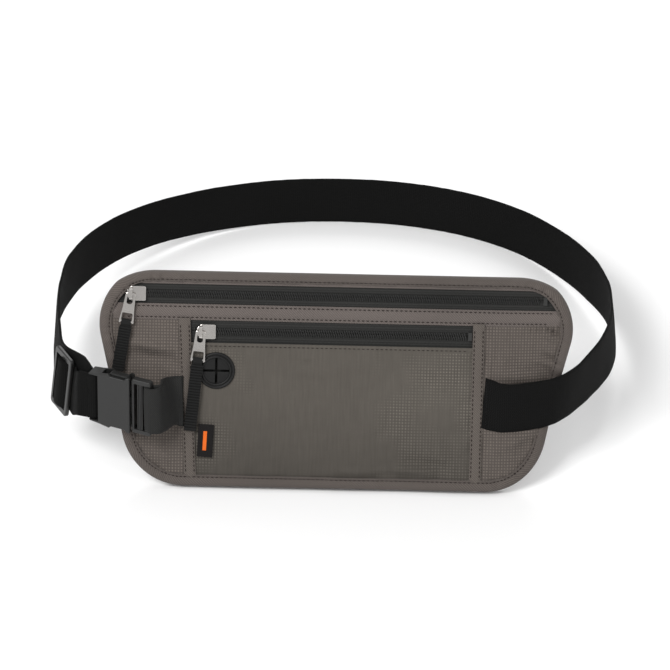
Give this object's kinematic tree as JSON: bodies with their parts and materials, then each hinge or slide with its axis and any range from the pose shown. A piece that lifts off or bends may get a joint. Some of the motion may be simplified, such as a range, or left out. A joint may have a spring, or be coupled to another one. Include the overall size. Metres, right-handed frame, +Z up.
{
  "type": "money belt",
  "caption": "Flat zipped waist pouch on an adjustable webbing strap with a side-release buckle, tri-glide, two zips and an earphone port.",
  "frame": {"origin": "centre of the bounding box's footprint, on the surface that the belt stands on", "axes": "+Z up, -Y out of the pouch's front, +X towards the pouch's right as seen from the front"},
  "size_m": [0.3454, 0.3356, 0.126],
  "materials": {
    "spacer_mesh": "padded air mesh",
    "lining": "plain weave",
    "binding_tape": "fine twill",
    "panel_fabric": "fine dobby weave",
    "ripstop_fabric": "small square ripstop",
    "pocket_fabric": "smooth nylon weave",
    "fold_tape": "folded tape",
    "port_rubber": "satin",
    "zip_tape": "ribbed tape",
    "zip_coil": "nylon coil",
    "nickel_plate": "bright nickel",
    "grip_rubber": "ribbed",
    "woven_label": "woven label",
    "black_thread": "bar-tack",
    "buckle_plastic": "fine satin",
    "black_webbing": "ribbed webbing"
  },
  "bodies": {
    "pouch": {"back_panel": "spacer_mesh", "main_pocket_lining": "lining", "front_pocket_lining": "lining", "edge_binding": "binding_tape", "top_strip": "panel_fabric", "middle_strip": "panel_fabric", "left_wing": "ripstop_fabric", "right_wing": "ripstop_fabric", "lower_pocket_panel": "pocket_fabric", "pocket_tape_left": "fold_tape", "pocket_tape_right": "fold_tape", "port_ring": "port_rubber", "port_washer": "port_rubber", "port_flaps": "port_rubber", "upper_zip_tape_top": "zip_tape", "upper_zip_coil_top": "zip_coil", "upper_zip_tape_bottom": "zip_tape", "upper_zip_coil_bottom": "zip_coil", "upper_zip_stop": "zip_coil", "lower_zip_tape_top": "zip_tape", "lower_zip_coil_top": "zip_coil", "lower_zip_tape_bottom": "zip_tape", "lower_zip_coil_bottom": "zip_coil", "lower_zip_stop": "zip_coil", "side_tag": "woven_label", "bartack_right": "black_thread", "buckle_plug": "buckle_plastic", "strap_right_end": "black_webbing", "short_webbing": "black_webbing"},
    "strap": {"buckle_socket": "buckle_plastic", "strap_socket_loop": "black_webbing", "strap_loop": "black_webbing", "strap_outer_layer": "black_webbing"},
    "triglide": {"triglide": "buckle_plastic", "strap_end_sleeve": "black_webbing", "strap_over_bar": "black_webbing"},
    "arm_upper": {"buckle_arm_upper": "buckle_plastic"},
    "arm_lower": {"buckle_arm_lower": "buckle_plastic"},
    "upper_slider": {"upper_slider_body": "nickel_plate"},
    "upper_pull": {"upper_puller": "nickel_plate"},
    "upper_grip": {"upper_pull_tab": "grip_rubber"},
    "lower_slider": {"lower_slider_body": "nickel_plate"},
    "lower_pull": {"lower_puller": "nickel_plate"},
    "lower_grip": {"lower_pull_tab": "grip_rubber"}
  },
  "joints": [
    {"name": "buckle_release", "type": "slide", "parent": "pouch", "child": "strap", "axis": [-0.9135, 0.4067, 0], "range_m": [0, 0.03]},
    {"name": "arm_upper_squeeze", "type": "hinge", "parent": "pouch", "child": "arm_upper", "pos_m": [-0.1182, -0.15903, 0.06914], "axis": [-0.4067, -0.9135, 0], "range_deg": [0, 8], "stiffness_Nm_per_rad": 0.5},
    {"name": "arm_lower_squeeze", "type": "hinge", "parent": "pouch", "child": "arm_lower", "pos_m": [-0.1182, -0.15903, 0.04594], "axis": [0.4067, 0.9135, 0], "range_deg": [0, 8], "stiffness_Nm_per_rad": 0.5},
    {"name": "triglide_slide", "type": "hinge", "parent": "strap", "child": "triglide", "pos_m": [-0.08822, -0.08546, 0.05054], "axis": [0, 0, -1], "range_deg": [0, 14]},
    {"name": "upper_zip_slide", "type": "slide", "parent": "pouch", "child": "upper_slider", "axis": [1, 0, 0], "range_m": [0, 0.232]},
    {"name": "upper_pull_lift", "type": "hinge", "parent": "upper_slider", "child": "upper_pull", "pos_m": [-0.12031, -0.12477, 0.11193], "axis": [-0.9877, 0.0535, 0.147], "range_deg": [0, 115]},
    {"name": "upper_grip_lift", "type": "hinge", "parent": "upper_pull", "child": "upper_grip", "pos_m": [-0.1229, -0.13038, 0.09652], "axis": [-0.9877, 0.0535, 0.147], "range_deg": [0, 50]},
    {"name": "lower_zip_slide", "type": "slide", "parent": "pouch", "child": "lower_slider", "axis": [1, 0, 0], "range_m": [0, 0.147]},
    {"name": "lower_pull_lift", "type": "hinge", "parent": "lower_slider", "child": "lower_pull", "pos_m": [-0.07921, -0.13229, 0.09125], "axis": [-0.9954, 0.0328, 0.0901], "range_deg": [0, 115]},
    {"name": "lower_grip_lift", "type": "hinge", "parent": "lower_pull", "child": "lower_grip", "pos_m": [-0.0808, -0.13795, 0.07573], "axis": [-0.9954, 0.0328, 0.0901], "range_deg": [0, 50]}
  ],
  "couplings": [
    {"joint": "arm_lower_squeeze", "follows": "arm_upper_squeeze", "ratio": 1},
    {"joint": "upper_pull_lift", "follows": "upper_zip_slide", "rad_per_m": 8.65},
    {"joint": "upper_grip_lift", "follows": "upper_zip_slide", "rad_per_m": 3.76}
  ]
}
